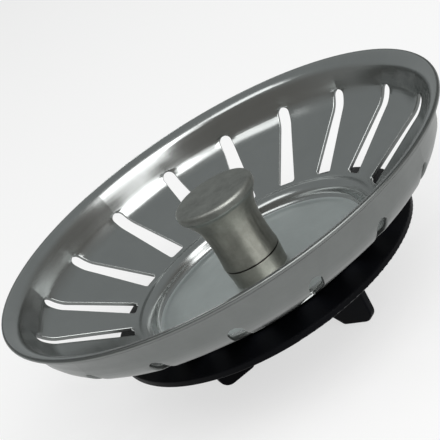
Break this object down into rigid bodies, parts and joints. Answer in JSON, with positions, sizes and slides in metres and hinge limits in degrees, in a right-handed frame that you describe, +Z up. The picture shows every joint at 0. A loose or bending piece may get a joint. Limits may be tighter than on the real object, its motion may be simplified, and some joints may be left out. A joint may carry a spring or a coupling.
{
  "type": "sink strainer plug",
  "caption": "Kitchen sink basket strainer plug: slotted pressed steel dish with a turned screw-off knob, rubber seal ring and moulded guide foot with three legs.",
  "frame": {"origin": "on the axis of the strainer, at the plane that the leg tips stand on", "axes": "+Z up along the axis, from the leg tips to the knob; one slot of the dish points along +X"},
  "size_m": [0.08, 0.08, 0.0291],
  "materials": {
    "dish_steel": "polished stainless steel",
    "knob_steel": "satin turned stainless steel",
    "fastener_steel": "plain stainless steel",
    "seal_rubber": "smooth black rubber",
    "foot_plastic": "black moulded plastic"
  },
  "bodies": {
    "strainer": {"strainer_basket": "dish_steel", "knob_collar": "knob_steel", "captive_nut": "fastener_steel", "stud_o_ring": "seal_rubber", "seal_ring": "seal_rubber", "guide_foot": "foot_plastic"},
    "stud": {"knob_stud": "fastener_steel"},
    "knob": {"knob": "knob_steel"}
  },
  "joints": [
    {"name": "knob_rise", "type": "slide", "parent": "strainer", "child": "stud", "axis": [0, 0, 1], "range_m": [0, 0.0048]},
    {"name": "knob_turn", "type": "hinge", "parent": "stud", "child": "knob", "pos_m": [0, 0, 0.01615], "axis": [0, 0, 1], "range_deg": [0, 2160]}
  ],
  "couplings": [
    {"joint": "knob_turn", "follows": "knob_rise", "rad_per_m": 7854}
  ]
}
